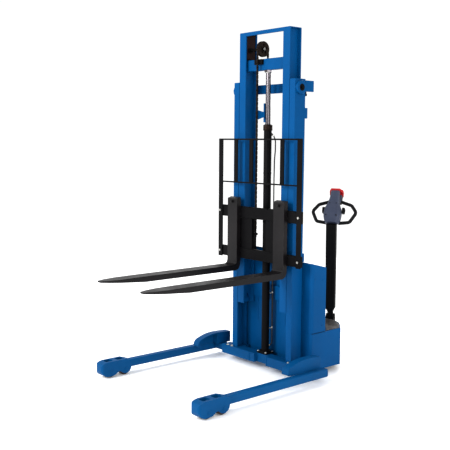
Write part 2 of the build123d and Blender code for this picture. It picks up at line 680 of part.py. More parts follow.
# ----------------------------------------------------- inside the power unit
with BuildPart() as battery:
    slab(-220, 220, 205, 385, 440, 640)
    for x in (-170, 170):
        pin_z(640, 655, x, 240, 9)
save(battery, "battery_case")
with BuildPart() as tray:
    slab(-226, 226, 200, 390, 428, 440)
    for x in (-226, 214):
        slab(x, x + 12, 200, 390, LOWER_Z[1], 428)
save(tray, "battery_tray")
with BuildPart() as tank:
    slab(-330, -150, 140, 190, 120, 290)
    pin_z(290, 300, -300, 165, 16)
save(tank, "hydraulic_tank")
with BuildPart() as pump:
    pin_z(100, 120, 200, 300, 60)
    pin_z(120, 290, 200, 300, 52)
    slab(150, 250, 250, 350, 54, 100)
save(pump, "pump_motor")
with BuildPart() as valve:
    slab(40, 110, 270, 330, 54, 130)
    pin_z(130, 165, 60, 300, 12)
    pin_z(130, 165, 90, 300, 12)
save(valve, "valve_block")
with BuildPart() as controller:
    slab(-120, 20, 300, 420, 54, 110)
    for k in range(6):
        slab(-116 + k * 23, -106 + k * 23, 304, 416, 110, 124)
save(controller, "motor_controller")

# Dash on the cover top, left of centre
with BuildPart() as dash:
    with BuildSketch(slope_plane(151)):
        with Locations((-205, 0)):
            RectangleRounded(170, 48, 10)
    extrude(amount=4)
    with BuildSketch(slope_plane(151, 3)):
        with Locations((-245, 0)):
            Circle(11.0)
    extrude(amount=5, mode=Mode.SUBTRACT)
save(dash, "dash")
with BuildPart() as gauge:
    with BuildSketch(slope_plane(151, 4)):
        with Locations((-200, 0)):
            RectangleRounded(44, 30, 5)
    extrude(amount=4)
save(gauge, "battery_indicator")
with BuildPart() as key:
    with BuildSketch(slope_plane(151, 3.4)):
        with Locations((-245, 0)):
            Circle(10.5)
    extrude(amount=6)
    with BuildSketch(slope_plane(151, 9.4)):
        with Locations((-245, 0)):
            Rectangle(3, 17)
    extrude(amount=18)
save(key, "key_switch")
with BuildPart() as estop_b:
    with BuildSketch(slope_plane(151, 4)):
        with Locations((-155, 0)):
            Circle(20)
            Circle(8.4, mode=Mode.SUBTRACT)
    extrude(amount=5)
save(estop_b, "stop_collar")
with BuildPart() as estop:
    with BuildSketch(slope_plane(151, 8.6)):
        with Locations((-155, 0)):
            Circle(8)
    extrude(amount=7)
    with BuildSketch(slope_plane(151, 15.6)):
        with Locations((-155, 0)):
            Circle(17)
    extrude(amount=10)
    fillet(estop.edges().group_by(Axis.Z)[-1], 3)
save(estop, "stop_button")

# ---------------------------------------------------------------------- legs
for tag, s in (("left", -1), ("right", 1)):
    a, b = sorted((s * LEG_IN, s * LEG_OUT))
    with BuildPart() as leg:
        slab(a, b, LEG_FRONT, LEG_REAR, *LEG_Z)
        chamfer(leg.edges().filter_by(Axis.Y), 5)
    save(leg, "leg_beam_" + tag)

    with BuildPart() as arm:
        c, d = sorted((s * 120, s * LEG_IN))
        slab(c, d, BASE_FRONT + 12, 48, BASE_Z[0] + 12, BASE_Z[1] - 12)
        c2, d2 = sorted((s * 119, s * (LEG_IN + 1)))
        slab(c2, d2, BASE_FRONT + 20, 40, BASE_Z[0] + 20, BASE_Z[1] - 20, Mode.SUBTRACT)
    save(arm, "leg_slide_arm_" + tag)

    with BuildPart() as gus:
        c, d = sorted((s * 446, s * LEG_IN))
        with BuildSketch(side(c)):
            with BuildLine():
                Spline((-225, 110), (-214, 146), (-165, 170), (-112, 184), (-11, 190), (95, 184))
                Polyline((95, 184), (95, 103.2), (-30, 103.2), (-30, 104), (-215, 104), (-225, 110))
            make_face()
        extrude(amount=d - c)
        # open underneath, inboard
        e, g = sorted((s * 440, s * (LEG_IN - 8)))
        with BuildSketch(side(e)):
            with BuildLine():
                Polyline((-206, 90), (-206, 138), (-160, 162), (-110, 176), (-36, 181), (-36, 90), close=True)
            make_face()
        extrude(amount=g - e, mode=Mode.SUBTRACT)
    save(gus, "leg_gusset_" + tag)

    with BuildPart() as tip:
        c, d = sorted((s * TIP_IN, s * TIP_OUT))
        with BuildSketch(side(c)):
            with BuildLine():
                Spline((LEG_FRONT, 58), (-808, 34), (-826, 19), (-848, 15), (-868, 20), (-886, 33),
                       (-901, 37), (-916, 30), (-938, 17), (-966, 13), (-1000, 14), (-1026, 26),
                       (-1040, 44), (TIP_FRONT, 66))
                Polyline((TIP_FRONT, 66), (TIP_FRONT, 90), (-1036, 104), (-1014, 114), (-986, 118), (-846, 118),
                         (LEG_FRONT, 104), (LEG_FRONT, 58))
            make_face()
        extrude(amount=d - c)
        # rounded in plan
        with BuildSketch(level(0, (c + d) / 2, (TIP_FRONT + LEG_FRONT) / 2)):
            RectangleRounded(d - c, LEG_FRONT - TIP_FRONT, 20)
            with Locations((0, 40)):
                Rectangle(d - c, LEG_FRONT - TIP_FRONT - 80)
        extrude(amount=200, mode=Mode.INTERSECT)
        slab(c + 11, d - 11, -1016, -793, 0, 92, Mode.SUBTRACT)
        for y in (-968, -876):
            with BuildSketch(level(80, (c + d) / 2, y)):
                RectangleRounded(d - c - 34, 58, 12)
            extrude(amount=60, mode=Mode.SUBTRACT)
        for y in LOAD_Y:
            pin_x(c - 1, d + 1, y, LOAD_R, 9.05, Mode.SUBTRACT)
    save(tip, "leg_tip_housing_" + tag)

    with BuildPart() as axles:
        c, d = sorted((s * (TIP_IN - 3), s * (TIP_OUT + 3)))
        for y in LOAD_Y:
            pin_x(c, d, y, LOAD_R, 9.05)
    save(axles, "load_wheel_axles_" + tag)

    for end, y in zip(("front", "rear"), LOAD_Y):
        with BuildPart() as lw:
            pin_x(s * LOAD_X - 26, s * LOAD_X + 26, y, LOAD_R, LOAD_R)
            fillet(lw.edges().filter_by(GeomType.CIRCLE), 4)
            pin_x(s * LOAD_X - 27, s * LOAD_X + 27, y, LOAD_R, 9.1, Mode.SUBTRACT)
        save(lw, "load_wheel_" + tag + "_" + end)

# ------------------------------------------------------------ rear stabilisers
CX, CYY = 268.0, 440.0
for tag, s in (("left", -1), ("right", 1)):
    with BuildPart() as mount:
        c, d = sorted((s * (CX - 45), s * (CX + 45)))
        slab(c, d, CYY - 45, CYY + 45, 150, 160)
        pin_z(160, 307, s * CX, CYY, 22)
    save(mount, "caster_mount_" + tag)
    with BuildPart() as cfork:
        pin_z(132, 149.4, s * CX, CYY, 34)
        for q in (-1, 1):
            e, g = sorted((q * 22, q * 28))
            with BuildSketch(side(s * CX + e)):
                with BuildLine():
                    Polyline((CYY - 26, 132), (CYY + 30, 132), (CYY + 40, 60), (CYY + 40, 34),
                             (CYY + 14, 34), (CYY + 10, 60), close=True)
                make_face()
            extrude(amount=6)
        pin_x(s * CX - 30, s * CX + 30, CYY + 25, CASTER_R, 6.05)
    save(cfork, "caster_fork_" + tag)
    with BuildPart() as cwheel:
        pin_x(s * CX - 18, s * CX + 18, CYY + 25, CASTER_R, CASTER_R)
        fillet(cwheel.edges().filter_by(GeomType.CIRCLE), 5)
        pin_x(s * CX - 19, s * CX + 19, CYY + 25, CASTER_R, 6.1, Mode.SUBTRACT)
    save(cwheel, "caster_wheel_" + tag)

# ------------------------------------------------------- drive unit and tiller
th = math.radians(STEER_REST)
ACROSS = Vector(math.cos(th), math.sin(th), 0)
BACK = Vector(-math.sin(th), math.cos(th), 0)


def drv(x, b, z):
    """Point from the steering axis: x across the tiller, b behind it, z up."""
    v = Vector(0, DY + STEER_Y, 0) + ACROSS * x + BACK * b
    return Vector(v.X, v.Y, z)


def drv_level(z):
    return Plane(drv(0, 0, z), x_dir=ACROSS, z_dir=(0, 0, 1))


def drv_side(x):
    """Sketch X goes back from the steering axis, sketch Y is up."""
    return Plane(drv(x, 0, 0), x_dir=BACK, z_dir=ACROSS)


with BuildPart() as dmount:
    with BuildSketch(level(204)):
        with Locations((0, STEER_Y)):
            Circle(85)
        with BuildLine():
            Polyline((-85, STEER_Y), (-104, 735), (-120, 585.5), (120, 585.5), (104, 735), (85, STEER_Y),
                     close=True)
        make_face()
        with Locations((0, STEER_Y)):
            Circle(20.05, mode=Mode.SUBTRACT)
    extrude(amount=9)
    # side skirts of the drive bay
    with BuildSketch(level(62)):
        for s in (-1, 1):
            with BuildLine():
                Polyline((s * 120, 585.5), (s * 104, 735), (s * 98, 735), (s * 114, 585.5), close=True)
            make_face()
    extrude(amount=142)
save(dmount, "drive_mount")

with BuildPart() as yoke:
    with BuildSketch(drv_level(184)):
        RectangleRounded(100, 76, 10)
    extrude(amount=12)
    for q in (-1, 1):
        x0 = 40 if q > 0 else -50
        with BuildSketch(drv_side(x0)):
            with BuildLine():
                Polyline((-36, 186), (36, 186), (30, 100), (20, 72), (-20, 72), (-30, 100), close=True)
            make_face()
            with Locations((0, DRIVE_R)):
                Circle(12.05, mode=Mode.SUBTRACT)
        extrude(amount=10)
    with BuildSketch(drv_level(196)):
        Circle(20)
    extrude(amount=24)
save(yoke, "yoke")

with BuildPart() as daxle:
    with BuildSketch(drv_side(-53)):
        with Locations((0, DRIVE_R)):
            Circle(12.05)
    extrude(amount=106)
save(daxle, "drive_axle")

with BuildPart() as dhub:
    with BuildSketch(drv_side(-DRIVE_W / 2)):
        with Locations((0, DRIVE_R)):
            Circle(62)
            Circle(12.1, mode=Mode.SUBTRACT)
    extrude(amount=DRIVE_W)
    for q in (-DRIVE_W / 2 - 1, DRIVE_W / 2 - 9):
        with BuildSketch(drv_side(q)):
            with Locations((0, DRIVE_R)):
                Circle(52)
                Circle(24, mode=Mode.SUBTRACT)
        extrude(amount=10, mode=Mode.SUBTRACT)
save(dhub, "drive_hub")
with BuildPart() as dtyre:
    with BuildSketch(drv_side(-DRIVE_W / 2)):
        with Locations((0, DRIVE_R)):
            Circle(DRIVE_R)
            Circle(62, mode=Mode.SUBTRACT)
    extrude(amount=DRIVE_W)
    fillet(dtyre.edges().filter_by(GeomType.CIRCLE).group_by(SortBy.RADIUS)[-1], 6)
save(dtyre, "drive_tyre")

with BuildPart() as dome:
    with BuildSketch(Plane(drv(0, 0, 0), x_dir=ACROSS, z_dir=-BACK)):
        with BuildLine():
            l1 = Polyline((0, 220.2), (20.6, 220.2), (20.6, 213.6), (82, 213.6), (84, 218))
            Spline((84, 218), (74, 236), (48, 246), (0, 249))
            Line((0, 249), (0, 220.2))
        make_face()
    revolve(axis=Axis(drv(0, 0, 0), (0, 0, 1)))
save(dome, "drive_dome")

with BuildPart() as tbase:
    with BuildSketch(drv_level(247)):
        with Locations((0, 20)):
            Rectangle(60, 62)
    extrude(amount=6)
    for x0 in (-34, 24):
        with BuildSketch(drv_side(x0)):
            with BuildLine():
                Polyline((-6, 236), (-2, 262), (PIVOT_B - 15, PIVOT_Z + 26), (PIVOT_B - 8, PIVOT_Z + 34),
                         (PIVOT_B + 9, PIVOT_Z + 34), (PIVOT_B + 17, PIVOT_Z + 26),
                         (PIVOT_B + 21, PIVOT_Z), (60, 236), close=True)
            make_face()
            with Locations((PIVOT_B, PIVOT_Z)):
                Circle(8.05, mode=Mode.SUBTRACT)
        extrude(amount=10)
    with BuildSketch(Plane(drv(0, 0, 0), x_dir=ACROSS, z_dir=-BACK)):
        with BuildLine():
            Polyline((0, 218), (84, 218))
            Spline((84, 218), (74, 236), (48, 246), (0, 249))
            Line((0, 249), (0, 218))
        make_face()
    revolve(axis=Axis(drv(0, 0, 0), (0, 0, 1)), mode=Mode.SUBTRACT)
save(tbase, "tiller_bracket")

with BuildPart() as tpin:
    with BuildSketch(drv_side(-38)):
        with Locations((PIVOT_B, PIVOT_Z)):
            Circle(8.05)
    extrude(amount=76)
save(tpin, "tiller_pivot_pin")

COL_TOP = 1020.0
with BuildPart() as col:
    with BuildSketch(drv_side(-40)):
        with BuildLine():
            Polyline((PIVOT_B - 16, PIVOT_Z - 4), (13, 316), (-2.6, 344), (-20, COL_TOP), (26, COL_TOP),
                     (43.4, 344), (PIVOT_B + 15, PIVOT_Z - 4))
            ThreePointArc((PIVOT_B + 15, PIVOT_Z - 4), (PIVOT_B, PIVOT_Z - 14.5), (PIVOT_B - 16, PIVOT_Z - 4))
        make_face()
    extrude(amount=80)
    fillet(col.edges().filter_by(lambda e: e.length > 560), 8)
    # waisted at the hinge
    with BuildSketch(Plane(drv(0, 80, 0), x_dir=ACROSS, z_dir=-BACK)):
        for q in (-1, 1):
            with BuildLine():
                Polyline((q * 21, 240), (q * 21, 318), (q * 24, 330), (q * 31, 344), (q * 50, 375),
                         (q * 60, 375), (q * 60, 240), close=True)
            make_face()
    extrude(amount=160, mode=Mode.SUBTRACT)
    with BuildSketch(drv_side(-42)):
        with Locations((PIVOT_B, PIVOT_Z)):
            Circle(8.1)
    extrude(amount=84, mode=Mode.SUBTRACT)
save(col, "tiller_tube")

with BuildPart() as ribs:
    for x0 in (-28, -6, 16):
        with BuildSketch(drv_side(x0)):
            with BuildLine():
                Polyline((-4.2, 440), (-18.6, 1000), (-21.6, 1000), (-7.2, 440), close=True)
            make_face()
        extrude(amount=12)
save(ribs, "tiller_column_ribs")

# Tilted frame of the head: origin at its lower end, Z along the head
hl = math.radians(HEAD_LEAN)
HB = BACK * math.cos(hl) + Vector(0, 0, -math.sin(hl))
HU = BACK * math.sin(hl) + Vector(0, 0, math.cos(hl))
HO = drv(0, 4, COL_TOP)


def hd(x, b, u):
    return HO + ACROSS * x + HB * b + HU * u


def head_plan(u, x=0.0, b=0.0):
    """Across the head: sketch X across, sketch Y back."""
    return Plane(hd(x, b, u), x_dir=ACROSS, z_dir=HU)


def head_front(b):
    """Facing back out of the head: sketch X across, sketch Y along the head."""
    return Plane(hd(0, b, 0), x_dir=-ACROSS, z_dir=HB)


def head_side(x):
    return Plane(hd(x, 0, 0), x_dir=HB, z_dir=ACROSS)


def rounded(plane, w, d, r):
    """Rounded rectangle on a plane, as a face for lofts and extrusions."""
    with BuildSketch(plane) as outline:
        RectangleRounded(w, d, r)
    return outline.sketch.face()


def head_shell(mode=Mode.ADD):
    """Front shell of the head, wide at the grips and narrow at the top."""
    loft([rounded(head_plan(4), 100, 82, 22), rounded(head_plan(60, 0, -13), 134, 98, 30),
          rounded(head_plan(130, 0, -16), 124, 94, 30)], mode=mode)
    loft([rounded(head_plan(130, 0, -16), 124, 94, 30), rounded(head_plan(175, 0, -22), 92, 68, 22),
          rounded(head_plan(274, 0, -24), 70, 54, 18)], mode=mode)


def panel_block(mode=Mode.ADD):
    extrude(rounded(head_plan(196, 0, 22), 96, 52, 10), amount=63, mode=mode)


with BuildPart() as head:
    head_shell()
    # seat on the column top
    with BuildSketch(drv_level(COL_TOP - 60)):
        Rectangle(200, 200)
    extrude(amount=60, mode=Mode.SUBTRACT)
save(head, "tiller_head_housing")

for tag, s in (("left", -1), ("right", 1)):
    with BuildPart() as loop:
        with BuildLine(head_front(26)):
            FilletPolyline((-s * 40, 212), (-s * 132, 182), (-s * 176, 120), (-s * 132, 34), (-s * 44, 22),
                           radius=[34, 34, 30])
        with BuildSketch(Plane(hd(s * 40, 26, 212), x_dir=HB,
                               z_dir=(ACROSS * (s * 92) + HU * -30))):
            Ellipse(14.5, 13)
        sweep()
        # the loop starts at the face of the head
        head_shell(Mode.SUBTRACT)
        panel_block(Mode.SUBTRACT)
    save(loop, "handle_loop_" + tag)

# Black block on the head's upper back; its post guides the reversing button
with BuildPart() as surround:
    panel_block()
    with BuildSketch(head_plan(259, 0, 29)):
        RectangleRounded(68, 30, 6)
    extrude(amount=13)
    head_shell(Mode.SUBTRACT)
save(surround, "button_panel")

# Red reversing button over the end of the head
with BuildPart() as rev:
    with BuildSketch(head_plan(264, 0, 16)):
        RectangleRounded(108, 72, 16)
    extrude(amount=34)
    with BuildSketch(head_plan(279, 0, -24)):
        RectangleRounded(84, 40, 14)
    extrude(amount=19)
    fillet(rev.faces().sort_by(Axis.Z)[-1].edges(), 5)
    with BuildSketch(head_plan(263, 0, -24)):
        Rectangle(120, 64)
    extrude(amount=16, mode=Mode.SUBTRACT)
    with BuildSketch(head_plan(263, 0, 29)):
        RectangleRounded(72, 34, 7)
    extrude(amount=21, mode=Mode.SUBTRACT)
save(rev, "reverse_button")

with BuildPart() as rocker:
    with BuildSketch(head_front(49.4)):
        with Locations((9, 229)):
            RectangleRounded(34, 13, 4)
    extrude(amount=4)
    with BuildSketch(head_plan(221.4, -9, 51.4)):
        Circle(1.9)
    extrude(amount=15.2)
save(rocker, "lift_rocker")

with BuildPart() as horn:
    with BuildSketch(head_front(49.4)):
        with Locations((-22, 229)):
            Circle(6.5)
    extrude(amount=4)
save(horn, "horn_button")

for tag, s in (("left", -1), ("right", 1)):
    with BuildPart() as thr:
        with BuildSketch(head_side(70.0 if s > 0 else -88.0)):
            with BuildLine():
                Polyline((-14, 96), (14, 96), (26, 128), (20, 140), (-20, 140), (-26, 128), close=True)
            make_face()
        extrude(amount=18)
        with BuildSketch(head_side(88.0 if s > 0 else -91.0)):
            with Locations((0, 118)):
                Circle(12)
        extrude(amount=3)
    save(thr, "throttle_" + tag)

# ------------------------------------------------------------ units, one node each
for unit, solids in made.items():
    whole = Compound(solids)
    whole.label = unit
    export_step(whole, "parts/" + unit + ".step")
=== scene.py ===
import bpy, bmesh, math
from mathutils import Vector, Matrix, noise


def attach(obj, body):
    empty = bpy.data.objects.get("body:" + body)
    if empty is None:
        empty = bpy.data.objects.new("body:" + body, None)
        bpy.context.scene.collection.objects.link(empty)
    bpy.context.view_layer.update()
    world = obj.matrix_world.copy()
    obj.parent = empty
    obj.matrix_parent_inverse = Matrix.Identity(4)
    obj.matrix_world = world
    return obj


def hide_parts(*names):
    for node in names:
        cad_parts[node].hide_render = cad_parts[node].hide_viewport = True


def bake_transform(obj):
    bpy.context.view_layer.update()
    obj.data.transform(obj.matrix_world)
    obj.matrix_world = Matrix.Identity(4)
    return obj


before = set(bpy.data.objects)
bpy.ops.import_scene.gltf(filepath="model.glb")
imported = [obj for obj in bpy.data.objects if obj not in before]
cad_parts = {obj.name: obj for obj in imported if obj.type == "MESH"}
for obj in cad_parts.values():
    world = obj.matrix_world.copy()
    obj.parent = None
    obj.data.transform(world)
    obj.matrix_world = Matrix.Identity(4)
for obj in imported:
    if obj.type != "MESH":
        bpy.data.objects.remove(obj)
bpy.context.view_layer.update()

DY = 0.1328082
scene = bpy.context.scene

# ------------------------------------------------------------------ camera
a, e, r = math.radians(49.27), math.radians(6.05), math.radians(0.40)
fw = Vector((-math.sin(a) * math.cos(e), math.cos(a) * math.cos(e), -math.sin(e)))
rt = Vector((math.cos(a), math.sin(a), 0))
up = rt.cross(fw)
rt2 = rt * math.cos(r) + up * math.sin(r)
up2 = up * math.cos(r) - rt * math.sin(r)
cam = bpy.data.objects.new("camera", bpy.data.cameras.new("camera"))
scene.collection.objects.link(cam)
cam.data.sensor_width = 36
cam.data.lens = 62.05
cam.data.clip_end = 200
m = Matrix.Identity(4)
for i, v in enumerate((rt2, up2, -fw)):
    for k in range(3):
        m[k][i] = v[k]
m.translation = Vector((4.0411, -3.8310 + DY, 1.6503))
cam.matrix_world = m
scene.camera = cam


# --------------------------------------------------------------- materials
def srgb(*c):
    return tuple((x / 12.92 if x <= 0.04045 else ((x + 0.055) / 1.055) ** 2.4) for x in [v / 255 for v in c])


class Mat:
    """Small helper around one node tree."""

    def __init__(self, name, rough=0.4, metallic=0.0, coat=0.0, coat_rough=0.08, spec=0.5, ior=1.5):
        self.m = bpy.data.materials.new(name)
        self.m.use_nodes = True
        self.t = self.m.node_tree
        self.b = self.t.nodes["Principled BSDF"]
        self.b.inputs["Roughness"].default_value = rough
        self.b.inputs["Metallic"].default_value = metallic
        self.b.inputs["Coat Weight"].default_value = coat
        self.b.inputs["Coat Roughness"].default_value = coat_rough
        self.b.inputs["Specular IOR Level"].default_value = spec
        self.b.inputs["IOR"].default_value = ior
        self.tc = self.t.nodes.new("ShaderNodeTexCoord")

    def node(self, kind, **kw):
        n = self.t.nodes.new(kind)
        for k, v in kw.items():
            if k.startswith("_"):
                setattr(n, k[1:], v)
            else:
                n.inputs[k.replace("__", " ")].default_value = v
        return n

    def link(self, a, b):
        self.t.links.new(a, b)

    def coords(self, scale=(1, 1, 1)):
        mp = self.node("ShaderNodeMapping")
        mp.inputs["Scale"].default_value = scale
        self.link(self.tc.outputs["Object"], mp.inputs["Vector"])
        return mp.outputs["Vector"]

    def noise(self, scale, detail=3, rough=0.5, stretch=(1, 1, 1)):
        n = self.node("ShaderNodeTexNoise", Scale=scale, Detail=detail, Roughness=rough)
        self.link(self.coords(stretch), n.inputs["Vector"])
        return n.outputs["Fac"]

    def ramp(self, src, stops):
        n = self.node("ShaderNodeValToRGB")
        cr = n.color_ramp
        while len(cr.elements) < len(stops):
            cr.elements.new(0.5)
        for el, (p, c) in zip(cr.elements, stops):
            el.position = p
            el.color = (*c, 1) if len(c) == 3 else c
        self.link(src, n.inputs["Fac"])
        return n.outputs["Color"]

    def grey(self, src, p0, v0, p1, v1):
        n = self.node("ShaderNodeMapRange")
        n.inputs["From Min"].default_value = p0
        n.inputs["From Max"].default_value = p1
        n.inputs["To Min"].default_value = v0
        n.inputs["To Max"].default_value = v1
        self.link(src, n.inputs["Value"])
        return n.outputs["Result"]

    def mix(self, fac, c1, c2):
        n = self.node("ShaderNodeMix", _data_type="RGBA")
        self.link(fac, n.inputs[0])
        for s, c in ((n.inputs[6], c1), (n.inputs[7], c2)):
            if isinstance(c, tuple):
                s.default_value = (*c[:3], 1)
            else:
                self.link(c, s)
        return n.outputs[2]

    def mul(self, x, y):
        n = self.node("ShaderNodeMath", _operation="MULTIPLY")
        self.link(x, n.inputs[0])
        if isinstance(y, (int, float)):
            n.inputs[1].default_value = y
        else:
            self.link(y, n.inputs[1])
        return n.outputs[0]

    def edge(self, radius=0.003, lo=0.02, hi=0.22):
        """1 on worn convex or concave edges, from the difference between rounded and true normal."""
        bv = self.node("ShaderNodeBevel", Radius=radius)
        bv.samples = 4
        g = self.node("ShaderNodeNewGeometry")
        d = self.node("ShaderNodeVectorMath", _operation="DOT_PRODUCT")
        self.link(bv.outputs["Normal"], d.inputs[0])
        self.link(g.outputs["Normal"], d.inputs[1])
        return self.grey(d.outputs["Value"], 1 - lo, 0.0, 1 - hi, 1.0)

    def bump(self, src, dist, strength=1.0, prev=None):
        n = self.node("ShaderNodeBump", Strength=strength, Distance=dist)
        self.link(src, n.inputs["Height"])
        if prev is not None:
            self.link(prev, n.inputs["Normal"])
        return n.outputs["Normal"]

    def color(self, out):
        if isinstance(out, tuple):
            self.b.inputs["Base Color"].default_value = (*out[:3], 1)
        else:
            self.link(out, self.b.inputs["Base Color"])

    def rough(self, out):
        self.link(out, self.b.inputs["Roughness"])

    def normal(self, out):
        self.link(out, self.b.inputs["Normal"])


def paint(name, base, dark, light, worn, rough=0.32, coat=0.25, peel=0.00012, wear=0.6, spec=0.3):
    k = Mat(name, rough=rough, coat=coat, coat_rough=0.12, spec=spec)
    big = k.noise(2.2, 4, 0.55)
    body = k.ramp(big, [(0.30, dark), (0.52, base), (0.75, light)])
    spots = k.noise(160, 3, 0.6)
    fine = k.ramp(spots, [(0.0, (0.93,) * 3), (0.5, (1, 1, 1)), (1.0, (1.05,) * 3)])
    mulc = k.node("ShaderNodeMix", _data_type="RGBA", _blend_type="MULTIPLY")
    mulc.inputs[0].default_value = 0.6
    k.link(body, mulc.inputs[6])
    k.link(fine, mulc.inputs[7])
    col = mulc.outputs[2]
    patch = k.grey(k.noise(38, 4, 0.7), 0.50, 0.0, 0.66, 1.0)
    ed = k.mul(k.mul(k.edge(), patch), wear)
    col = k.mix(ed, col, worn)
    k.color(col)
    k.rough(k.grey(k.noise(9, 4, 0.6), 0.3, rough - 0.07, 0.75, rough + 0.12))
    n1 = k.bump(k.noise(420, 2, 0.5), peel, 0.55)
    n2 = k.bump(k.noise(7, 2, 0.4), 0.0012, 0.20, n1)
    k.normal(n2)
    return k.m


BLUE = paint("blue_powder_coat", (0.0003, 0.074, 0.214), (0.0002, 0.065, 0.190), (0.0005, 0.084, 0.238), (0.006, 0.10, 0.25),
             rough=0.42, coat=0.0, spec=0.07)
BLUE_LEG = paint("blue_leg_paint", (0.0004, 0.070, 0.196), (0.0003, 0.058, 0.166), (0.0010, 0.084, 0.228), (0.030, 0.10, 0.21),
                 rough=0.46, coat=0.0, spec=0.09, wear=0.9)
BLACK = paint("black_enamel", (0.0050, 0.0048, 0.0056), (0.0034, 0.0033, 0.0038), (0.0085, 0.0078, 0.0085), (0.045, 0.042, 0.040),
              rough=0.42, coat=0.0, spec=0.07, wear=0.5)
BLACK_FORK = paint("black_fork_enamel", (0.0056, 0.0046, 0.0056), (0.0036, 0.0032, 0.0038), (0.011, 0.009, 0.010),
                   (0.11, 0.10, 0.095), rough=0.38, coat=0.0, spec=0.26, wear=0.8)
# dark brown block colour: painted shade in the top of the left inner channel recess, under the cap plate
BROWN_SHADE_BLOCK = paint("brown_block_painted_shade", (0.020, 0.0045, 0.0035), (0.013, 0.0034, 0.0026), (0.030, 0.008, 0.006), (0.06, 0.02, 0.015),
            rough=0.55, coat=0.0, spec=0.15, wear=0.3)


def plastic(name, base, light, rough=0.5, grain=700, depth=0.00012, spec=0.5, coat=0.0):
    k = Mat(name, rough=rough, spec=spec, coat=coat)
    k.color(k.ramp(k.noise(5, 4, 0.6), [(0.3, base), (0.7, light)]))
    k.rough(k.grey(k.noise(14, 3, 0.6), 0.3, rough - 0.06, 0.7, rough + 0.10))
    vor = k.node("ShaderNodeTexVoronoi", Scale=grain)
    k.link(k.coords(), vor.inputs["Vector"])
    n1 = k.bump(vor.outputs["Distance"], depth, 0.5)
    k.normal(k.bump(k.noise(grain * 0.4, 2, 0.5), depth, 0.4, n1))
    return k.m


PLASTIC = plastic("black_grained_plastic", (0.0055, 0.0055, 0.0062), (0.0075, 0.0075, 0.0080), 0.50, spec=0.09)
GRIP = plastic("grip_rubber", (0.0060, 0.0060, 0.0070), (0.0100, 0.0100, 0.0110), 0.52, grain=480, depth=0.0003, spec=0.14)
GREY = plastic("grey_grained_plastic", srgb(58, 64, 82), srgb(74, 80, 98), 0.45, grain=620, depth=0.0001, spec=0.22)
RED = plastic("red_gloss_plastic", (0.40, 0.006, 0.010), (0.48, 0.012, 0.016), 0.32, grain=300, depth=0.00008, coat=0.0,
              spec=0.35)
MAT_RUBBER = plastic("ribbed_deck_rubber", (0.0080, 0.0058, 0.0052), (0.016, 0.011, 0.010), 0.42, grain=260, depth=0.0004,
                     spec=0.35)


def metal(name, base, light, rough, stretch=(1, 1, 1), scale=90, depth=0.00006, metallic=1.0):
    k = Mat(name, rough=rough, metallic=metallic)
    k.color(k.ramp(k.noise(scale * 0.2, 4, 0.6, stretch), [(0.3, base), (0.7, light)]))
    k.rough(k.grey(k.noise(scale, 3, 0.6, stretch), 0.3, max(0.03, rough - 0.08), 0.7, rough + 0.10))
    k.normal(k.bump(k.noise(scale * 3, 2, 0.5, stretch), depth, 0.4))
    return k.m


CHROME = metal("hard_chrome", (0.085, 0.075, 0.080), (0.150, 0.140, 0.150), 0.22, (1, 1, 0.05), 120, 0.00002)
STEEL = metal("turned_steel", (0.20, 0.19, 0.18), (0.32, 0.31, 0.29), 0.34, (0.2, 1, 1), 160)
ZINC = metal("zinc_plate", (0.46, 0.46, 0.44), (0.62, 0.61, 0.57), 0.34, (1, 1, 1), 140)
CHAIN = metal("oiled_chain_steel", (0.016, 0.012, 0.010), (0.050, 0.040, 0.034), 0.42, (1, 1, 1), 220)
CAST = metal("cast_dark_sheave", (0.020, 0.013, 0.011), (0.045, 0.032, 0.027), 0.5, (1, 1, 1), 120, 0.0002)


def tyre(name, base, light, rough=0.5):
    k = Mat(name, rough=rough)
    dust = k.grey(k.noise(22, 5, 0.65), 0.45, 0.0, 0.75, 0.45)
    body = k.ramp(k.noise(6, 3, 0.5), [(0.3, base), (0.7, light)])
    k.color(k.mix(dust, body, (0.10, 0.09, 0.08)))
    k.rough(k.grey(k.noise(30, 3, 0.6), 0.3, rough - 0.08, 0.7, rough + 0.15))
    k.normal(k.bump(k.noise(260, 3, 0.6), 0.0002, 0.5))
    return k.m


POLY = tyre("polyurethane_tread", (0.022, 0.010, 0.008), (0.036, 0.017, 0.012))
HOSE = tyre("hose_rubber", (0.008, 0.008, 0.009), (0.014, 0.014, 0.015), 0.42)

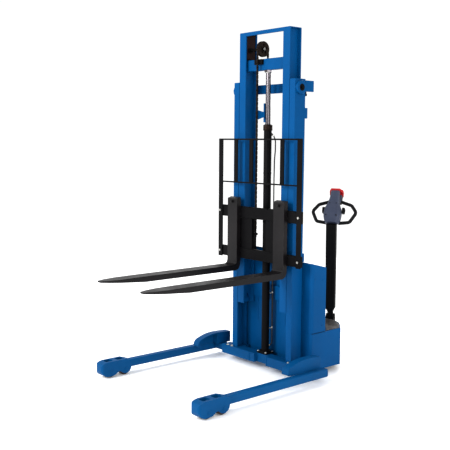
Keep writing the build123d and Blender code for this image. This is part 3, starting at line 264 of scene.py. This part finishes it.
NODE_MAT = {
    "outer_mast_channels": BLUE, "outer_mast_ties": BLUE, "chain_anchor": BLUE, "base_frame": BLUE_LEG,
    "lower_housing": BLUE, "power_cover": BLUE, "bulkhead_panel": BLUE, "drive_mount_plate": BLUE,
    "inner_mast_channels": BLUE, "inner_mast_ties": BLUE, "crosshead": BLUE, "leg_left": BLUE_LEG,
    "leg_right": BLUE_LEG, "leg_tip_left": BLUE_LEG, "leg_tip_right": BLUE_LEG, "battery_lid": BLUE,
    "cylinder_barrel": BLACK, "cylinder_fittings": BLACK, "carriage_bars": BLACK, "carriage_plates": BLACK,
    "load_backrest": BLACK, "fork_left": BLACK_FORK, "fork_right": BLACK_FORK, "sheave_bracket": BLACK,
    "chain_sheave": CAST, "steering_yoke": BLACK, "caster_fork_left": ZINC, "caster_fork_right": ZINC,
    "hydraulic_power_pack": BLACK, "motor_controller": BLACK, "piston_rod": CHROME,
    "lift_chain_front": CHAIN, "lift_chain_rear": CHAIN, "lift_chain_wrap": CHAIN,
    "outer_mast_rollers": STEEL, "inner_mast_rollers": STEEL, "carriage_lower_rollers": STEEL,
    "carriage_upper_rollers": STEEL, "chassis_fasteners": ZINC, "tiller_column": PLASTIC,
    "handle_loops": GRIP, "throttle": PLASTIC, "drive_dome": PLASTIC, "lift_rocker": PLASTIC,
    "horn_button": PLASTIC, "dash_plate": PLASTIC, "battery": PLASTIC, "key_switch": PLASTIC,
    "tiller_head": GREY, "reverse_button": RED, "stop_button": RED, "drive_wheel": POLY,
    "load_wheel_left_front": POLY, "load_wheel_left_rear": POLY, "load_wheel_right_front": POLY,
    "load_wheel_right_rear": POLY, "caster_wheel_left": POLY, "caster_wheel_right": POLY,
    "hydraulic_hose": HOSE, "rear_deck_mat": MAT_RUBBER,
}
SMALL = {"horn_button", "lift_rocker", "key_switch", "stop_button", "chassis_fasteners", "dash_plate",
         "cylinder_fittings", "throttle", "battery_lid", "bulkhead_panel"}
for name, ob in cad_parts.items():
    mat = NODE_MAT[name]
    ob.data.materials.clear()
    ob.data.materials.append(mat)
    w = ob.modifiers.new("weld", "WELD")
    w.merge_threshold = 0.00002
    b = ob.modifiers.new("edge", "BEVEL")
    b.width = 0.0006 if name in SMALL else 0.0016
    b.segments = 2
    b.limit_method = "ANGLE"
    b.angle_limit = math.radians(32)
    b.use_clamp_overlap = True
    wn = ob.modifiers.new("normals", "WEIGHTED_NORMAL")
    wn.keep_sharp = False
    for p in ob.data.polygons:
        p.use_smooth = True



def part_of(node, mat, test):
    """A second material on the faces of one solid of a CAD node, chosen by place."""
    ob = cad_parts[node]
    ob.data.materials.append(mat)
    k = len(ob.data.materials) - 1
    for p in ob.data.polygons:
        if test(p.center):
            p.material_index = k


# tiller frames, the same as the CAD's
TH, HL = math.radians(28), math.radians(31)
AC = Vector((math.cos(TH), math.sin(TH), 0))
BK = Vector((-math.sin(TH), math.cos(TH), 0))
UPZ = Vector((0, 0, 1))
HB = BK * math.cos(HL) - UPZ * math.sin(HL)
HU = BK * math.sin(HL) + UPZ * math.cos(HL)


def drv(x, b, z):
    return Vector((0, DY + 0.75, z)) + AC * x + BK * b


HO = drv(0, 0.004, 1.020)


def hd(x, b, u):
    return HO + AC * x + HB * b + HU * u


def in_head(c):
    d = c - HO
    return d.dot(AC), d.dot(HB), d.dot(HU)


def panel_face(c):
    x, b, u = in_head(c)
    return u > 0.1955 and b > 0.0035 and (b > 0.012 or abs(x) > 0.036 or u > 0.2725 or u < 0.197)


part_of("tiller_head", PLASTIC, panel_face)
# faces inside the left channel recess take the dark brown: painted shade under the cap plate
part_of("sheave_bracket", BROWN_SHADE_BLOCK, lambda c: c.x < -0.1925 and c.z > 2.2495)
part_of("chassis_fasteners", PLASTIC, lambda c: c.z > 1.9)
part_of("load_backrest", ZINC, lambda c: c.y < DY - 0.0475 and abs(abs(c.x) - 0.407) < 0.012)
part_of("cylinder_fittings", CAST, lambda c: c.z > 1.735)
part_of("drive_wheel", CAST, lambda c: (c - drv(0, 0, 0.088) - AC * (c - drv(0, 0, 0.088)).dot(AC)).length < 0.0605)


# ------------------------------------------------------------ small pieces
def add(name, bm, mat, body, bevel=0.0, smooth=True, subd=0):
    me = bpy.data.meshes.new(name)
    bmesh.ops.recalc_face_normals(bm, faces=bm.faces)
    bm.to_mesh(me)
    bm.free()
    ob = bpy.data.objects.new(name, me)
    scene.collection.objects.link(ob)
    me.materials.append(mat)
    for p in me.polygons:
        p.use_smooth = smooth
    if bevel:
        b = ob.modifiers.new("edge", "BEVEL")
        b.width = bevel
        b.segments = 2
        b.limit_method = "ANGLE"
        b.angle_limit = math.radians(35)
    if subd:
        sd = ob.modifiers.new("sub", "SUBSURF")
        sd.levels = sd.render_levels = subd
    if smooth:
        wn = ob.modifiers.new("normals", "WEIGHTED_NORMAL")
    if body:
        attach(ob, body)
    return ob


def basis(axis):
    w = Vector(axis).normalized()
    u = w.orthogonal().normalized()
    return u, w.cross(u), w


def lathe(bm, at, axis, profile, n=24, hexa=0, spin=0.0):
    """Closed turned shape: profile is (radius, height) pairs along axis. The first rings in hexa are six-sided."""
    u, v, w = basis(axis)
    at = Vector(at)
    rings = []
    for k, (r, h) in enumerate(profile):
        ring = []
        for i in range(n):
            t = 2 * math.pi * i / n + spin
            q = r
            if k < hexa:
                a6 = (t - spin) % (math.pi / 3) - math.pi / 6
                q = r * math.cos(math.pi / 6) / math.cos(a6)
            ring.append(bm.verts.new(at + u * (q * math.cos(t)) + v * (q * math.sin(t)) + w * h))
        rings.append(ring)
    for a_, b_ in zip(rings, rings[1:]):
        for i in range(n):
            bm.faces.new((a_[i], a_[(i + 1) % n], b_[(i + 1) % n], b_[i]))
    bm.faces.new(rings[0][::-1])
    bm.faces.new(rings[-1])


def bolt(bm, at, axis, r, washer=True, head=None):
    """Hexagon head on a round washer."""
    h = head or r * 0.75
    z = 0.0
    if washer:
        lathe(bm, at, axis, [(r * 1.45, 0), (r * 1.45, r * 0.16), (r * 1.40, r * 0.22), (r * 0.7, r * 0.22)], 24)
        z = r * 0.22
    lathe(bm, Vector(at) + Vector(axis).normalized() * z, axis,
          [(r * 1.02, 0), (r * 1.02, h * 0.80), (r * 0.86, h), (r * 0.5, h)], 24, hexa=2, spin=0.2)


def bead(bm, pts, r, seed=0, squash=0.75):
    """Weld bead: a tube along pts with overlapping ripples."""
    path = []
    pts = [Vector(p) for p in pts]
    for a_, b_ in zip(pts, pts[1:]):
        n = max(2, int((b_ - a_).length / 0.0022))
        for i in range(n):
            path.append(a_.lerp(b_, i / n))
    path.append(pts[-1])
    prev = None
    rings = []
    for i, p in enumerate(path):
        t = (path[min(i + 1, len(path) - 1)] - path[max(i - 1, 0)]).normalized()
        u, v, w = basis(t)
        k = r * (0.82 + 0.20 * ((i % 3) / 2) + 0.16 * (noise.noise(p * 60 + Vector((seed, 0, 0)))))
        if i in (0, len(path) - 1):
            k *= 0.4
        ring = [bm.verts.new(p + (u * math.cos(q) + v * math.sin(q)) * k) for q in
                [2 * math.pi * j / 8 for j in range(8)]]
        rings.append(ring)
    for a_, b_ in zip(rings, rings[1:]):
        # rings may be turned against each other, so join each point to the nearest
        off = min(range(8), key=lambda o: (a_[0].co - b_[o].co).length)
        flip = (a_[1].co - b_[(off + 1) % 8].co).length > (a_[1].co - b_[(off - 1) % 8].co).length
        for j in range(8):
            p0, p1 = a_[j], a_[(j + 1) % 8]
            if flip:
                q0, q1 = b_[(off - j) % 8], b_[(off - j - 1) % 8]
            else:
                q0, q1 = b_[(off + j) % 8], b_[(off + j + 1) % 8]
            bm.faces.new((p0, p1, q1, q0))
    bm.faces.new(rings[0][::-1])
    bm.faces.new(rings[-1])


def P(x, y, z):
    """Point in the row frame from millimetres, Y from the mast front face."""
    return Vector((x / 1000, DY + y / 1000, z / 1000))


# ---- lift chain: leaf plates and pins in place of the plain strands
CX0 = -0.062
PITCH = 0.0159


def plate(bm, a_, b_, side_dir, x0, x1, r):
    """One leaf plate between pins a_ and b_, waisted, r at the pins."""
    t = (b_ - a_).normalized()
    nrm = t.cross(side_dir).normalized()
    outline = []
    for i in range(7):
        q = math.pi / 2 + math.pi * i / 6
        outline.append(a_ + t * (r * math.cos(q)) + nrm * (r * math.sin(q)))
    outline.append((a_ + b_) / 2 - nrm * (r * 0.80))
    for i in range(7):
        q = -math.pi / 2 + math.pi * i / 6
        outline.append(b_ + t * (r * math.cos(q)) + nrm * (r * math.sin(q)))
    outline.append((a_ + b_) / 2 + nrm * (r * 0.80))
    lo = [bm.verts.new(p + side_dir * x0) for p in outline]
    hi = [bm.verts.new(p + side_dir * x1) for p in outline]
    n = len(outline)
    bm.faces.new(lo[::-1])
    bm.faces.new(hi)
    for i in range(n):
        bm.faces.new((lo[i], lo[(i + 1) % n], hi[(i + 1) % n], hi[i]))


def chain(name, pts):
    bm = bmesh.new()
    ex = Vector((1, 0, 0))
    odd = ((-0.0076, -0.0056), (-0.0010, 0.0010), (0.0056, 0.0076))
    even = ((-0.0054, -0.0034), (-0.0032, -0.0012), (0.0012, 0.0032), (0.0034, 0.0054))
    for i, (p, q) in enumerate(zip(pts, pts[1:])):
        for x0, x1 in (odd if i % 2 else even):
            plate(bm, p, q, ex, x0, x1, 0.0046)
    for p in pts:
        lathe(bm, p - ex * 0.0079, ex, [(0.0019, 0), (0.0023, 0.0004), (0.0023, 0.0154), (0.0019, 0.0158)], 10)
    return add(name, bm, CHAIN, None, smooth=False)


def run_pts(y, z0, z1):
    n = round((z1 - z0) / PITCH)
    return [Vector((CX0, DY + y, z0 + (z1 - z0) * i / n)) for i in range(n + 1)]


front_strand = chain("chain_front_links", run_pts(-0.004, 1.0165, 2.317))
rear_strand = chain("chain_rear_links", run_pts(0.098, 1.8365, 2.317))
n_w = 10
arc_pts = [Vector((CX0, DY + 0.047 - 0.051 * math.cos(math.pi * i / n_w), 2.317 + 0.051 * math.sin(math.pi * i / n_w)))
           for i in range(n_w + 1)]
wrap_links = chain("chain_wrap_links", arc_pts)
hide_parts("lift_chain_front")
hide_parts("lift_chain_rear")
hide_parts("lift_chain_wrap")
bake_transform(front_strand)
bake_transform(rear_strand)
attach(wrap_links, "inner_mast")

# ---- chassis welds, painted over
bm = bmesh.new()
for s_ in (-1, 1):
    bead(bm, [P(s_ * 284, -1, 112.6), P(s_ * 310, -1, 112.6)], 0.0028, 1)
    bead(bm, [P(s_ * 311, 2, 112.6), P(s_ * 311, 98, 112.6)], 0.0028, 2)
    bead(bm, [P(s_ * 311.5, 106, 2004), P(s_ * 311.5, 100.5, 2004), P(s_ * 311.5, 100.5, 2079)], 0.0026, 3)
    bead(bm, [P(s_ * 290, 126.5, 1823), P(s_ * 290, 126.5, 1891)], 0.0022, 4)
    for k in range(24):
        t0, t1 = 2 * math.pi * k / 24, 2 * math.pi * (k + 1) / 24
        if k % 24 < 23:
            bead(bm, [P(s_ * 311.5, 50 + 46 * math.cos(t0), 2030 + 46 * math.sin(t0)),
                      P(s_ * 311.5, 50 + 46 * math.cos(t1), 2030 + 46 * math.sin(t1))], 0.0022, k)
    bead(bm, [P(s_ * 92, -28, 110), P(s_ * 92, -28, 48)], 0.0022, 5)
bead(bm, [P(-284, 111, 1820.5), P(-192, 111, 1820.5)], 0.0018, 6)
bead(bm, [P(-87, 111, 1846), P(-87, 111, 1868)], 0.0018, 7)
add("chassis_welds", bm, BLUE, "chassis")

bm = bmesh.new()
for s_ in (-1, 1):
    bead(bm, [P(s_ * 217, 26, 2245.6), P(s_ * 217, 68, 2245.6)], 0.0026, 8)
    bead(bm, [P(s_ * 217, 24.4, 2167), P(s_ * 217, 24.4, 2243)], 0.0024, 9)
    bead(bm, [P(s_ * 192, 100.4, 510), P(s_ * 192, 100.4, 610)], 0.0024, 10)
    bead(bm, [P(s_ * 219, 14.4, 2432), P(s_ * 219, 14.4, 2418)], 0.0020, 11)
add("inner_mast_welds", bm, BLUE, "inner_mast")

# ---- carriage and backrest welds, black
bm = bmesh.new()
for x in (-239, -75, 75, 239):
    bead(bm, [P(x - 17, -46.4, 1369.6), P(x + 17, -46.4, 1369.6)], 0.0018, 12)
    bead(bm, [P(x - 17, -46.4, 1670.4), P(x + 17, -46.4, 1670.4)], 0.0018, 13)
for s_ in (-1, 1):
    for z0, z1 in ((882.6, 882.6), (1103.4, 1103.4)):
        bead(bm, [P(s_ * 76, -32.4, z0), P(s_ * 182, -32.4, z1)], 0.0024, 14)
    bead(bm, [P(s_ * 386, -47.2, 1359), P(s_ * 386, -47.2, 1369)], 0.0018, 15)
add("carriage_welds", bm, BLACK, "carriage")

# ---- leg welds
for tag, s_, body in (("left", -1, "left_leg"), ("right", 1, "right_leg")):
    bm = bmesh.new()
    bead(bm, [P(s_ * 506, -200, 103.8), P(s_ * 506, 92, 103.8)], 0.0022, 16)
    bead(bm, [P(s_ * 508, -800.6, 105), P(s_ * 556, -800.6, 105)], 0.0020, 17)
    bead(bm, [P(s_ * 558.6, -800, 60), P(s_ * 558.6, -800, 98)], 0.0018, 18)
    bead(bm, [P(s_ * 505.4, -800, 60), P(s_ * 505.4, -800, 98)], 0.0018, 19)
    add("leg_welds_" + tag, bm, BLUE_LEG, body)
    # axle end rings and plugs on the outside of the tip
    bm = bmesh.new()
    for y in (-965, -844):
        for x, d in ((s_ * 580, s_), (s_ * 495, -s_)):
            lathe(bm, P(x, y, 42), (d, 0, 0), [(0.0150, 0), (0.0150, 0.0012), (0.0142, 0.0018), (0.0094, 0.0018)], 28)
            lathe(bm, P(x, y, 42) + Vector((d * 0.0012, 0, 0)), (d, 0, 0),
                  [(0.0088, 0), (0.0088, 0.0012), (0.0080, 0.0017), (0.0020, 0.0017)], 24)
    add("axle_rings_" + tag, bm, BLUE_LEG, body)

# ---- washers and screw heads on the fixed chassis
bm = bmesh.new()
for s_ in (-1, 1):
    for x in (300, 350):
        lathe(bm, P(s_ * x, -13, 112.1), (0, 0, 1), [(0.0128, 0), (0.0128, 0.0014), (0.0122, 0.0020), (0.0088, 0.0020)], 28)
for x in (-39, 39):
    for y in (16, 82):
        lathe(bm, P(x, y, 124.1), (0, 0, 1), [(0.0105, 0), (0.0105, 0.0012), (0.0100, 0.0018), (0.0074, 0.0018)], 28)
add("chassis_washers", bm, ZINC, "chassis")

bm = bmesh.new()
for s_ in (-1, 1):
    for y, z in ((150, 362), (232, 362), (150, 700), (232, 690)):
        lathe(bm, P(s_ * 389.8, y, z), (s_, 0, 0), [(0.0062, 0), (0.0060, 0.0010), (0.0048, 0.0020), (0.0026, 0.0025), (0.0026, 0.0012)], 24)
for x in (-180, -60, 60, 180):
    lathe(bm, P(x, 584.6, 270), (0, 1, 0), [(0.0062, 0), (0.0060, 0.0010), (0.0048, 0.0020), (0.0026, 0.0025), (0.0026, 0.0012)], 24)
for s_ in (-1, 1):
    for x, z in ((286, 180), (286, 420), (286, 640)):
        lathe(bm, P(s_ * x, 114.2, z), (0, -1, 0), [(0.0062, 0), (0.0060, 0.0010), (0.0048, 0.0020), (0.0026, 0.0025)], 24)
add("cover_screws", bm, BLUE, "chassis")

# rolled seam strip round the foot of the upper cover
bm = bmesh.new()
ring = [(-391, 124), (-391, 262), (-320, 343), (-221, 409), (221, 409), (320, 343), (391, 262), (391, 124)]
bead(bm, [P(x, y, 314.2) for x, y in ring], 0.0016, 20)
add("cover_seam", bm, PLASTIC, "chassis")

# mast roller hubs outside the bosses
bm = bmesh.new()
for s_ in (-1, 1):
    lathe(bm, P(s_ * 328.6, 50, 2030), (s_, 0, 0), [(0.024, 0), (0.024, 0.0010), (0.0225, 0.0022), (0.012, 0.0022)], 36)
    lathe(bm, P(s_ * 330.6, 50, 2030), (s_, 0, 0), [(0.0105, 0), (0.0105, 0.0056), (0.0092, 0.0072), (0.005, 0.0072)], 24, hexa=2)
add("outer_roller_nuts", bm, BLACK, "chassis")

# ---- lift cylinder: wiper ring, hose crimps, clamps, foot weld
bm = bmesh.new()
lathe(bm, P(0, 47, 1779.2), (0, 0, 1), [(0.0245, 0), (0.0245, 0.0030), (0.0225, 0.0046), (0.0188, 0.0046), (0.0188, 0.0)], 36)
lathe(bm, P(0, 47, 1742), (0, 0, 1), [(0.0338, 0), (0.0338, 0.0040), (0.0330, 0.0040), (0.0330, 0.0)], 36)
for z in (700, 1080, 1430):
    lathe(bm, P(0, 47, z), (0, 0, 1), [(0.0292, 0), (0.0292, 0.0120), (0.0284, 0.0124), (0.0281, 0.0124), (0.0281, 0.0)], 40)
add("cylinder_rings", bm, BLACK, "chassis")
bm = bmesh.new()
k_ = [P(0, 47, 136) + Vector((0.0292 * math.cos(2 * math.pi * i / 28), 0.0292 * math.sin(2 * math.pi * i / 28), 0)) for i in range(28)]
bead(bm, k_, 0.0024, 21)
add("cylinder_foot_weld", bm, BLACK, "chassis")
bm = bmesh.new()
dr = Vector((14, 6, -12)).normalized()
h0 = P(30, 60, 1712)
lathe(bm, h0 + dr * 0.006, dr, [(0.0064, 0), (0.0068, 0.0010), (0.0068, 0.0080), (0.0058, 0.0086), (0.0068, 0.0092), (0.0068, 0.0150), (0.0060, 0.0156), (0.0048, 0.0156)], 24)
add("hose_crimp", bm, ZINC, "chassis")

# lower run of the oil hose, down beside the barrel and into its foot
def tube(bm, pts, r, n=16):
    rings = []
    for i, p in enumerate(pts):
        t = (pts[min(i + 1, len(pts) - 1)] - pts[max(i - 1, 0)]).normalized()
        u = (Vector((0.7071, -0.7071, 0)) - t * t.dot(Vector((0.7071, -0.7071, 0)))).normalized()
        v = t.cross(u)
        rings.append([bm.verts.new(p + (u * math.cos(2 * math.pi * j / n) + v * math.sin(2 * math.pi * j / n)) * r) for j in range(n)])
    for a_, b_ in zip(rings, rings[1:]):
        for j in range(n):
            bm.faces.new((a_[j], a_[(j + 1) % n], b_[(j + 1) % n], b_[j]))
    bm.faces.new(rings[0][::-1])
    bm.faces.new(rings[-1])


bm = bmesh.new()
inw = Vector((-0.697, -0.717, 0))
r0 = 0.030
c_ = P(34, 82, 198) + inw * r0
low = [P(34, 82, 900 - 702 * i / 90) for i in range(91)]
low += [c_ - inw * (r0 * math.cos(math.pi / 2 * i / 12)) - UPZ * (r0 * math.sin(math.pi / 2 * i / 12)) for i in range(1, 10)]
tube(bm, low, 0.0045)
add("hose_lower_run", bm, HOSE, "chassis")
bm = bmesh.new()
lathe(bm, P(0, 47, 170) - inw * 0.0272, -inw, [(0.0085, 0), (0.0085, 0.0060), (0.0062, 0.0064), (0.0062, 0.0110)], 24, hexa=2)
add("hose_foot_union", bm, ZINC, "chassis")
bm = bmesh.new()
for z in (860, 560, 300):
    lathe(bm, P(34, 82, z), UPZ, [(0.0058, 0), (0.0060, 0.0010), (0.0060, 0.0110), (0.0058, 0.0120)], 20)
    lathe(bm, P(0, 47, z) - inw * 0.0275, -inw, [(0.0040, 0), (0.0040, 0.0165)], 12)
add("hose_clips", bm, ZINC, "chassis")

# rod end lock collar under the crosshead
bm = bmesh.new()
lathe(bm, P(0, 47, 2146), (0, 0, 1), [(0.0215, 0), (0.0240, 0.0010), (0.0240, 0.0040), (0.0225, 0.0050)], 36)
add("rod_washer", bm, ZINC, "inner_mast")

# sheave bearing cap and circlip
bm = bmesh.new()
lathe(bm, P(-44.2, 47, 2317), (1, 0, 0), [(0.0105, 0), (0.0105, 0.0014), (0.0092, 0.0022), (0.0060, 0.0022), (0.0056, 0.0012), (0.0020, 0.0012)], 32)
add("sheave_pin_cap", bm, STEEL, "inner_mast")

# ---- drive wheel nuts
bm = bmesh.new()
cw = drv(0, 0, 0.088)
for q in (-1, 1):
    for k in range(5):
        t = 2 * math.pi * k / 5
        off = BK * (0.036 * math.cos(t)) + UPZ * (0.036 * math.sin(t))
        bolt(bm, cw + off + AC * (q * 0.022), AC * q, 0.0052, head=0.005)
add("drive_wheel_nuts", bm, ZINC, "traction_wheel")

# ---- caster axle nuts
for tag, s_ in (("left", -1), ("right", 1)):
    bm = bmesh.new()
    for q in (-1, 1):
        bolt(bm, P(s_ * 268 + q * 28, 465, 46), (q, 0, 0), 0.0068, washer=True, head=0.0034)
    for k in range(4):
        t = math.pi / 4 + math.pi / 2 * k
        lathe(bm, P(s_ * 268, 440, 150) + Vector((0.039 * math.cos(t), 0.039 * math.sin(t), 0.0)), (0, 0, -1),
              [(0.0050, 0), (0.0050, 0.0034), (0.0042, 0.0040), (0.0024, 0.0040)], 18, hexa=2)
    ob = add("caster_nuts_" + tag, bm, ZINC, "caster_" + tag)

# ---- tiller: hinge pin heads, head screws, throttle ribs
bm = bmesh.new()
for q in (-1, 1):
    lathe(bm, drv(q * 0.038, 0.034, 0.270), AC * q, [(0.0075, 0), (0.0075, 0.0008), (0.0062, 0.0018), (0.0030, 0.0018)], 28)
add("hinge_pin_heads", bm, ZINC, "drive_unit")

bm = bmesh.new()
for x, u in ((-0.040, 0.052), (0.040, 0.052), (-0.026, 0.160), (0.026, 0.160)):
    base = hd(x, -0.0700 if u < 0.1 else -0.0605, u)
    lathe(bm, base + HB * 0.010, -HB, [(0.0040, 0), (0.0040, 0.0085), (0.0034, 0.0095), (0.0018, 0.0095), (0.0018, 0.0080)], 18)
add("head_screws", bm, PLASTIC, "tiller")

bm = bmesh.new()
for q in (-1, 1):
    c0 = hd(q * 0.0885, 0, 0.118)
    for k in range(7):
        t = -0.9 + 0.3 * k
        a_ = c0 + HB * (0.021 * math.sin(t)) + HU * (0.014 * math.cos(t) - 0.001)
        d_ = (HB * math.sin(t) + HU * math.cos(t))
        lathe(bm, a_ - AC * (q * 0.012), AC * q, [(0.0013, 0), (0.0015, 0.0010), (0.0015, 0.0122), (0.0010, 0.0130)], 10)
add("throttle_ribs", bm, GRIP, "throttle_body")

# ridges on the deck mat
bm = bmesh.new()
for k in range(9):
    y = 432 + k * 15
    half = 366 if y < 440 else 366 - (y - 430) * 0.72
    if y > 500:
        half = max(60, 310 - (y - 500) * 1.35)
    bead(bm, [P(-half, y, 317.2), P(half, y, 317.2)], 0.0012, k)
add("deck_mat_ridges", bm, MAT_RUBBER, "chassis")

# hinge knuckles on the lid
bm = bmesh.new()
sl = math.radians(14.6)
for x in (-150, 150):
    for k in range(3):
        zc = 815 - (184 - 118) * math.tan(sl) + 4.2
        lathe(bm, P(x - 28 + k * 20, 184, zc), (1, 0, 0), [(0.0044, 0), (0.0048, 0.0008), (0.0048, 0.0152), (0.0044, 0.0160)], 20)
add("lid_knuckles", bm, BLUE, "chassis")

# ------------------------------------------------------------------- light
world = bpy.data.worlds.new("world")
scene.world = world
world.use_nodes = True
world.node_tree.nodes["Background"].inputs["Color"].default_value = (1, 1, 1, 1)
world.node_tree.nodes["Background"].inputs["Strength"].default_value = 1.0


def area(name, loc, target, size, power, color=(1, 1, 1)):
    l = bpy.data.lights.new(name, "AREA")
    l.shape = "RECTANGLE"
    l.size, l.size_y = size
    l.energy = power
    l.color = color
    o = bpy.data.objects.new(name, l)
    scene.collection.objects.link(o)
    o.location = loc
    o.rotation_euler = (Vector(target) - Vector(loc)).to_track_quat("-Z", "Y").to_euler()
    return o


area("key", (-1.2, -5.4, 3.8), (0, 0, 1.1), (2.2, 2.2), 330)
area("fill", (5.2, -1.4, 2.8), (0, 0, 1.0), (2.6, 2.6), 120)
area("back", (-2.0, 4.5, 3.5), (0, 0, 1.2), (3.0, 3.0), 110)

# floor
me = bpy.data.meshes.new("floor")
bm = bmesh.new()
vs = [bm.verts.new(v) for v in ((-30, -30, 0), (30, -30, 0), (30, 30, 0), (-30, 30, 0))]
bm.faces.new(vs)
bm.to_mesh(me)
bm.free()
floor = bpy.data.objects.new("floor", me)
scene.collection.objects.link(floor)
fm = Mat("pale_floor", rough=0.75, spec=0.2)
fm.color(fm.ramp(fm.noise(3, 3), [(0.3, (0.985, 0.985, 0.985)), (0.7, (0.995, 0.995, 0.995))]))
fm.b.inputs["Emission Color"].default_value = (1, 1, 1, 1)
fm.b.inputs["Emission Strength"].default_value = 0.10
floor.data.materials.append(fm.m)
scene.view_settings.view_transform = "Standard"
scene.view_settings.exposure = 0.05
scene.view_settings.gamma = 0.86
